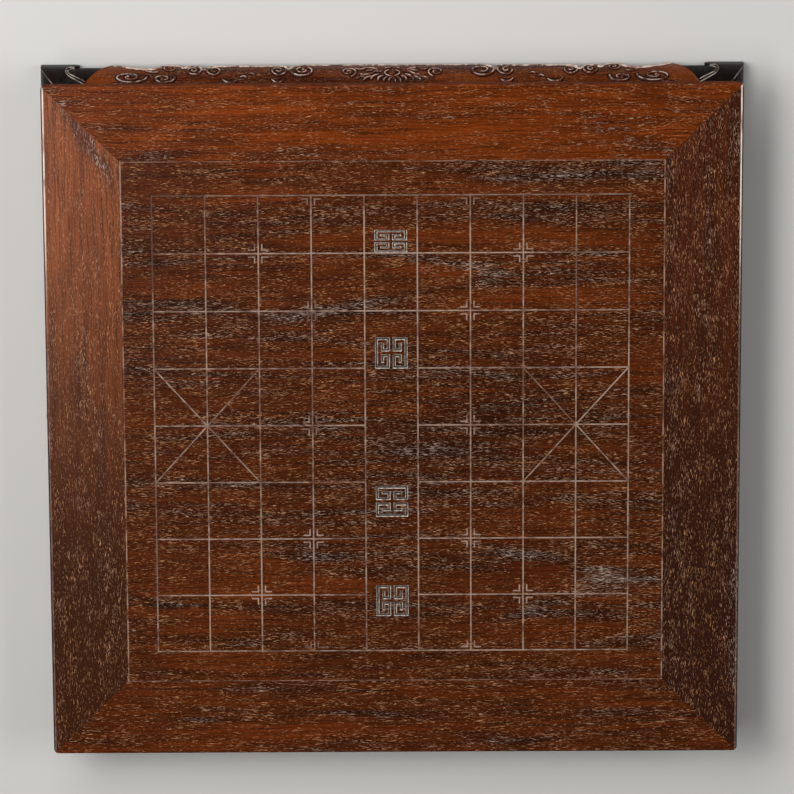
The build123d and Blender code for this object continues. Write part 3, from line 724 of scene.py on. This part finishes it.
def joint_dust(axes, body, place):
    """Pale dust in the joint round the panel, thicker along its ends."""
    ends = abs(axes["x"]).step(mm(panel_edge - 0.75), mm(panel_edge - 0.35))
    sides = abs(axes["y"]).step(mm(panel_edge - 0.6), mm(panel_edge - 0.3)) * 0.5
    broken = noise(place, 90.0, 3.0).step(0.38, 0.6, 0.1, 0.6)
    return (ends.math("MAXIMUM", sides) * broken).mix(body, paint(176, 140, 120))


panel_wood = wood("panel_wood", "xyz", ((41, 16, 5), (72, 30, 9), (116, 51, 16)), panel_marks, seed=1.3,
                  pore_share=0.6, patch=0.45, extra=joint_dust)
dress(panel_wood, "board_panel")

# %% [markdown]
# The four rails of the frame meet in mitres, and each is its own piece of wood: it has its own seed, its own
# shades, its own share of open pores and, on two of them, its own marks. Part of the difference in shades is
# painted light: the back rail is lighter than the front, and the left lighter than the right, as the light
# falls from the back left. The outer face of the back rail is made rough to match a colour, not because wear
# shows there: seen almost edge on, its polish mirrored the pale floor as a grey line, where the photograph is
# warm brown. The front rail is given the same.

# %% Rails at the front and back
back_marks = (
    (-152, 177, 0.12, 22, 3.0, -0.18, 0.05),
    (-140, 197, 0.62, 36, 6.0, 0.04, 0.30),
    (60, 196, 0.02, 70, 5.0, 0.10, -0.30),
    (150, 190, -0.40, 30, 6.0, -0.08, 0.30),
)
# The back rail's shades are lighter than the front rail's, partly as painted light falling off towards the
# front.
back_shades = ((64, 25, 5), (102, 42, 9), (130, 56, 14))
front_shades = ((44, 19, 7), (77, 32, 9), (102, 43, 13))
dull_face = ("y", 222.8, 223.6)
dress(wood("back_rail_wood", "xyz", back_shades, back_marks, seed=4.1, pore_share=0.45, dull=dull_face),
      "frame_back")
dress(wood("front_rail_wood", "xyz", front_shades, seed=7.7, pore_share=0.5, dull=dull_face), "frame_front")

# %% [markdown]
# The rails at the left and right lie with their grain from front to back, and are painted darker towards the
# front as a painted falloff of the light. An arris is the sharp edge where two faces meet. A thin pale line
# along the outer ones, clearest towards the back, is a painted highlight, and a dark one just outside it is
# painted shade, because the lamps here gave no such line.

# %% Rails at the left and right


def arris_highlight_and_shade(axes, body, place):
    """A painted highlight along the upper edge, clearest towards the back, and painted shade just below it."""
    off = abs(axes["x"])
    line = off.step(mm(221.9), mm(222.4)) * off.step(mm(223.3), mm(222.9))
    wear_and_highlight = line * axes["y"].step(mm(70), mm(150), 0.12, 1.0)
    broken = noise(place, 60.0, 3.0).step(0.3, 0.55, 0.35, 0.95)
    # A painted highlight along the arris.
    body = (wear_and_highlight * broken).mix(body, paint(226, 204, 190))
    # Painted shade just outside it, at the top of the outer face.
    painted_shade = off.step(mm(223.1), mm(223.4)) * axes["z"].step(mm(51), mm(52.4), 0.0, 0.75)
    return painted_shade.mix(body, paint(44, 28, 22))


left_marks = (
    (186, -193, -0.66, 20, 4.5, -0.22, 0.25),
    (160, -181, -0.30, 22, 5.0, -0.04, 0.25),
    (120, -214, 0.0, 30, 6.0, 0.08, -0.30),
    (60, -200, 0.04, 60, 4.0, -0.08, 0.20),
)
# The left rail's shades are lighter partly as a painted sheen.
left_shades_with_sheen = ((86, 40, 16), (128, 66, 32), (148, 80, 40))
right_shades = ((43, 19, 9), (68, 29, 12), (88, 41, 18))
dress(wood("left_rail_wood", "yxz", left_shades_with_sheen, left_marks, seed=12.9, pore_share=0.45, size=0.85, shine=0.2,
           fade=(185, -115, (52, 23, 8)), extra=arris_highlight_and_shade), "frame_left")
dress(wood("right_rail_wood", "yxz", right_shades, seed=17.3, pore_share=0.55, shine=0.2,
           fade=(160, -100, (44, 19, 9)), extra=arris_highlight_and_shade), "frame_right")

# %% [markdown]
# The stand's aprons take the same wood, with the grain along each side. The grooves beside the ridges are
# painted nearly black as shade, the crests pale as a highlight and the bead along the lower edge with a pale
# glint, because the lamps here leave the crests less bright. The finish reads where from the value that each
# point of the carving keeps.

# %% Wood of the aprons
stand_shades = ((45, 18, 8), (94, 41, 16), (136, 66, 26))


def carving_highlight_and_shade(axes, body, place):
    """Paints shade in the grooves beside each ridge, a highlight on its crest and a glint along the edge's
    bead.
    """
    near = place.add("Attribute", attribute_name="carve", output=2)
    # Painted shade in the grooves.
    groove = near.step(0.0, 0.22) * near.step(0.66, 0.46)
    body = (groove * 0.92).mix(body, paint(20, 10, 8))
    ends = abs(axes["x"]).math("MINIMUM", abs(axes["y"])).step(mm(160), mm(190), 0.0, 0.38)
    body = (ends * near.step(0.3, 0.1)).mix(body, paint(142, 68, 24))
    # A painted highlight on the crests, and a painted glint along the bead at the lower edge.
    crest_highlight_breaks = noise(place, 260.0, 2.0).step(0.40, 0.60, 0.02, 0.85)
    rim_glint = near.step(1.0, 1.3) * noise(place, 50.0, 3.0).step(0.38, 0.6, 0.08, 0.62)
    return (near.step(0.72, 0.92) * crest_highlight_breaks).math("MAXIMUM", rim_glint).mix(body, paint(226, 202, 186))


for sides, grain, seed in ((("back", "front"), "xzy", 21.0), (("left", "right"), "yzx", 25.0)):
    apron_finish = wood("apron_wood_" + grain[0], grain, stand_shades, seed=seed, pore_share=0.4, gloss=0.2,
                        size=0.7, tilt=-0.6, extra=carving_highlight_and_shade)
    for side in sides:
        carved_aprons[side].data.materials.append(apron_finish)
    print(apron_finish.name, "on", len(sides))

# %% [markdown]
# The legs are stained nearly black, with the grain upright, as a leg's has to be to carry weight. A pale
# streak along their outer corners, stronger towards the top, is a painted highlight: the finish finds a corner
# where the distances from the middle along X and along Y are the same. The waist between the board and the
# stand is a plain dark wood, and so are the drawer fronts, which sit in the waist.

# %% Wood of the legs and the waist


def corner_highlight(axes, body, place):
    """A painted highlight along the outer corner of each leg, stronger towards the top."""
    corner = abs(abs(axes["x"]) - abs(axes["y"])).step(mm(0.9), mm(0.2))
    high = axes["z"].step(mm(9), mm(22), 0.2, 0.9)
    broken = noise(place, 200.0, 2.0).step(0.35, 0.65, 0.1, 1.0)
    # The painted highlight on the corner.
    return (corner * high * broken).mix(body, paint(150, 140, 130))


legs = [n for n in nodes if n.startswith("leg_")]
leg_shades = ((9, 6, 5), (20, 12, 9), (32, 19, 14))
dress(wood("leg_wood", "zxy", leg_shades, seed=31.0, pore_share=0.4, gloss=0.28, shine=0.07, size=0.6,
           pale=(116, 104, 96), warm_pale=(92, 74, 62), extra=corner_highlight), *legs)
waist_shades = ((34, 15, 8), (66, 28, 12), (92, 40, 14))
waist_x = wood("waist_wood_x", "xzy", waist_shades, seed=35.0, pore_share=0.5, size=0.8, tilt=0.3)
waist_y = wood("waist_wood_y", "yzx", waist_shades, seed=38.0, pore_share=0.5, size=0.8, tilt=0.3)
dress(waist_x, "waist_back", "waist_front")
waist_sides = [n for n in nodes if n.startswith(("waist_left", "waist_right"))]
dress(waist_y, *waist_sides, "left_drawer_front", "right_drawer_front")

# %% [markdown]
# Where an apron's edge runs into a leg, it curls up the leg as a double bead. Each bead is a round wire laid
# on the leg's face, so a curve with a bevel makes it. The curve's points are dropped onto the leg from
# outside.

# %% One pair of beads
bead_radius, bead_aside, bead_limit = 0.38, 0.62, 226.25  # mm
leg_tree = BVHTree.FromObject(nodes["leg_back_left"], bpy.context.evaluated_depsgraph_get())
curl = ((-197.6, 20.6), (-201.0, 19.4), (-204.3, 18.0), (-207.0, 16.5), (-208.7, 14.6), (-209.1, 12.4),
        (-208.3, 9.9), (-206.4, 8.2), (-204.2, 7.8))
curl_line = leaf(*curl)[0]
across = np.gradient(curl_line, axis=0)
across = np.column_stack([across[:, 1], -across[:, 0]]) / np.hypot(*across.T)[:, None]
bead_meshes = []
for aside in (-bead_aside, bead_aside):
    line = (curl_line + across * aside)[::3]
    bead_data = bpy.data.curves.new("bead", "CURVE")
    bead_data.dimensions = "3D"
    bead_data.bevel_depth = mm(bead_radius)
    bead_data.bevel_resolution = 3
    bead_data.use_fill_caps = True
    spline = bead_data.splines.new("POLY")
    spline.points.add(len(line) - 1)
    for spot, (x, z) in zip(spline.points, line):
        hit = leg_tree.ray_cast(Vector((x, 300, z)) / 1000, Vector((0, -1, 0)))[0]
        hit = hit or leg_tree.find_nearest(Vector((x, 226, z)) / 1000)[0]
        spot.co = (hit.x, min(hit.y, mm(bead_limit)), hit.z, 1)
    maker = bpy.data.objects.new("bead", bead_data)
    bead_meshes.append(bpy.data.meshes.new_from_object(maker))
    bpy.data.objects.remove(maker)
print("points along a bead:", len(line))

# %% [markdown]
# A leg is the same on both of its outer faces, and the same at each corner. So the pair of beads is mirrored
# across the corner of one leg, and the two pairs are turned to the other three. Their pale colour is a painted
# highlight.

# %% Beads on the legs
bead_finish, place, shader = new_finish("bead_wood")
bead_highlight = noise(place, 160.0, 2.0).step(0.3, 0.6)
# The beads' pale colour is a painted highlight, broken up by a fine noise.
feed(shader, Base_Color=bead_highlight.mix(paint(70, 58, 50), paint(172, 162, 150)))
feed(shader, Roughness=0.3, Specular_IOR_Level=0.3)
same_face = Matrix.Identity(4)
other_face = Matrix(((0, -1, 0, 0), (-1, 0, 0, 0), (0, 0, 1, 0), (0, 0, 0, 1)))
for quarter, corner in enumerate(("back_left", "front_left", "front_right", "back_right")):
    shape = bmesh.new()
    for mesh in bead_meshes:
        for face_turn in (same_face, other_face):
            turned = mesh.copy()
            turned.transform(Matrix.Rotation(quarter * math.pi / 2, 4, "Z") @ face_turn)
            shape.from_mesh(turned)
            bpy.data.meshes.remove(turned)
    beads = add_object("leg_bead_" + corner, mesh_of("leg_bead_" + corner, shape, smooth=True))
    beads.data.materials.append(bead_finish)
    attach(beads, "case")
print("bead faces on each leg:", len(beads.data.polygons))

# %% [markdown]
# The photograph doesn't show the inside. Joiners often use a plain, pale wood there that costs less, and
# leave it without polish, so it is rough and its pores stay dark. One finish has its grain along the drawers'
# travel and the other across it. Each piece takes the one that runs along its own length, as it would be
# sawn.

# %% Inside
inner_shades, inner_pores = ((120, 80, 46), (158, 112, 68), (180, 134, 86)), (110, 75, 45)
plain = {"pore_share": 0.25, "gloss": 0.55, "pale": inner_pores, "warm_pale": inner_pores}
inner_x = wood("inner_wood_x", "xyz", inner_shades, seed=41.0, **plain)
inner_y = wood("inner_wood_y", "yxz", inner_shades, seed=44.0, **plain)
battens = [n for n in nodes if "batten" in n]
drawer_backs = [n for n in nodes if n.endswith("_drawer_back")]
guides = [n for n in nodes if n.startswith("drawer_guide")]
tray_ends = ("_drawer_left_side", "_drawer_right_side", "_drawer_bottom", "_drawer_divider")
trays = [n for n in nodes if n.endswith(tray_ends)]
dress(inner_y, "centre_partition", "case_bottom", *battens, *drawer_backs)
dress(inner_x, *guides, *trays)

# %% [markdown]
# The lines of the game are fine grooves with a pale filler in them. They could be painted in the panel's
# finish, but the frame has them as one piece, so they only need a finish of their own. A coarse noise and a
# fine one fade the filler, because one even colour would look printed. The outermost lines at the left and
# at the back have almost worn away.

# %% Lines
line_finish, place, shader = new_finish("line_filler")
axes = split(place)
wear_and_highlight = noise(place, 13.0, 2.0) * 0.5 + noise(place, 190.0, 2.0) * 0.5
line_colour = wear_and_highlight.step(0.38, 0.62).mix(paint(84, 50, 34), paint(146, 120, 103))
left_line = axes["x"].step(mm(-151.5), mm(-152.5))
back_line = axes["y"].step(mm(141.5), mm(142.5))
gone = left_line * axes["y"].step(mm(88), mm(91))
gone = gone.math("MAXIMUM", left_line * abs(axes["y"] + mm(78)).step(mm(44), mm(36)) * 0.6)
gone = gone.math("MAXIMUM", back_line * axes["x"].step(mm(-119), mm(-121), 0.5, 1.0))
feed(shader, Base_Color=gone.mix(line_colour, paint(66, 33, 17)), Roughness=0.7)
dress(line_finish, "line_inlay")

# %% [markdown]
# The river between the two middle ranks carries four carved ornaments. In the photograph they are
# characters and a row of curls. Lettering isn't drawn on this part, so here each is a square fret, a pattern
# of squared spirals that is common in Chinese joinery. A bump in the finish could suggest it, but only a cut
# has walls that show from the side. It is drawn as rows of text: each # is a square that the chisel takes
# out. The ground of a groove is painted dark as shade, and its walls pale as a highlight.

# %% Pattern of a fret
spiral = ("#####", "....#", "###.#", "#...#", "#####")
upper = [row[::-1] + ("#" if number == 0 else ".") + row for number, row in enumerate(spiral)]
fret = upper + ["." * 11] + upper[::-1]
print(*fret, sep="\n")
ground_finish, place, shader = new_finish("fret_ground")
# The ground of each groove is painted dark as shade.
painted_shade = noise(place, 500.0, 3.0)
feed(shader, Base_Color=painted_shade.step(0.3, 0.7).mix(paint(24, 15, 12), paint(70, 54, 46)), Roughness=0.75)
wall_finish, place, shader = new_finish("fret_wall")
# The walls of each groove are painted pale as a highlight.
wall_highlight = noise(place, 700.0, 2.0)
feed(shader, Base_Color=wall_highlight.step(0.3, 0.65).mix(paint(110, 92, 78), paint(204, 196, 184)), Roughness=0.6)

# %% [markdown]
# The cutter is the shape that the chisel takes away. The pattern's squares are raised above the panel, and
# their undersides are inset and pushed down, which gives each groove its sloping walls. Every second fret
# is turned, and the one at the back is flatter and shallower than the rest.

# %% Cutter for the frets
cell, above, wall_width, river_middle = 1.9, 0.6, 0.42, -1.4  # mm
panel_top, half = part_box("board_panel")[1].z * 1000, len(fret) / 2
cutter_mesh = bpy.data.meshes.new("fret_cutter")
cutter_shape = bmesh.new()
fret_places = ((121.4, 0, 0.3, 0.7), (47.3, 1, 0.6, 1), (-52.3, 0, 0.6, 1), (-119.7, 1, 0.6, 1))
for level, quarter, depth, squash in fret_places:
    shape = bmesh.new()
    bmesh.ops.create_grid(shape, x_segments=len(fret), y_segments=len(fret), size=half * cell)
    spare = []
    for face in shape.faces:
        middle = face.calc_center_median() / cell
        if fret[int(half - middle.y)][int(half + middle.x)] == ".":
            spare.append(face)
    bmesh.ops.delete(shape, geom=spare, context="FACES")
    bottom = list(shape.faces)
    grown = bmesh.ops.extrude_face_region(shape, geom=bottom, use_keep_orig=True)["geom"]
    raised = [v for v in grown if isinstance(v, bmesh.types.BMVert)]
    bmesh.ops.translate(shape, vec=(0, 0, above), verts=raised)
    bmesh.ops.inset_region(shape, faces=bottom, thickness=wall_width, use_even_offset=True)
    for vert in {v for face in bottom for v in face.verts}:
        vert.co.z -= depth
    for face in bottom:
        face.material_index = 1
    put = Matrix.Translation((river_middle, level, panel_top)) @ Matrix.Rotation(quarter * math.pi / 2, 4, "Z")
    put = Matrix.Scale(0.001, 4) @ (put @ Matrix.Diagonal((1, squash, 1, 1)))
    bmesh.ops.transform(shape, matrix=put, verts=shape.verts)
    bmesh.ops.recalc_face_normals(shape, faces=shape.faces)
    shape.to_mesh(cutter_mesh)
    shape.free()
    cutter_shape.from_mesh(cutter_mesh)
cutter_shape.to_mesh(cutter_mesh)
cutter_shape.free()
cutter = add_object("fret_cutter", cutter_mesh)
cutter_mesh.materials.append(wall_finish)
cutter_mesh.materials.append(ground_finish)
print("faces of the cutter:", len(cutter_mesh.polygons))

# %% [markdown]
# A Boolean takes the cutter out of a copy of the panel. It needs a closed shape, so the copy's loose
# triangles are joined first. The transfer setting carries the cutter's finishes over to the walls and the
# ground that it leaves. The result is kept as a plain mesh, and the cutter is thrown away.

# %% Frets in the river
shape = bmesh.new()
shape.from_mesh(nodes["board_panel"].data)
bmesh.ops.remove_doubles(shape, verts=shape.verts, dist=1e-6)
carved_panel = add_object("carved_panel", mesh_of("carved_panel", shape))
carved_panel.data.materials.append(panel_wood)
cut = carved_panel.modifiers.new("frets", "BOOLEAN")
cut.object, cut.operation, cut.solver, cut.material_mode = cutter, "DIFFERENCE", "EXACT", "TRANSFER"
made = bpy.data.meshes.new_from_object(carved_panel.evaluated_get(bpy.context.evaluated_depsgraph_get()))
carved_panel.modifiers.clear()
carved_panel.data = made
bpy.data.objects.remove(cutter)
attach(carved_panel, "case")
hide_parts("board_panel")
print("panel faces:", len(made.polygons), [m.name for m in made.materials])

# %% [markdown]
# The drawers aren't in the photograph, so their knobs and the rosettes behind them are a guess, in turned
# brass. A metal shows what it mirrors, so its colour, its roughness and a metallic value of 1 are enough.
# Tarnish, made of a fine noise, makes it darker and rougher in places.

# %% Brass
brass, place, shader = new_finish("brass")
tarnish = noise(place, 300.0, 3.0)
feed(shader, Base_Color=tarnish.step(0.3, 0.7).mix(paint(120, 88, 42), paint(188, 150, 84)), Metallic=1.0)
feed(shader, Roughness=tarnish.step(0.3, 0.7, 0.5, 0.28))
dress(brass, *[n for n in nodes if n.endswith(("_knob", "_rosette"))])
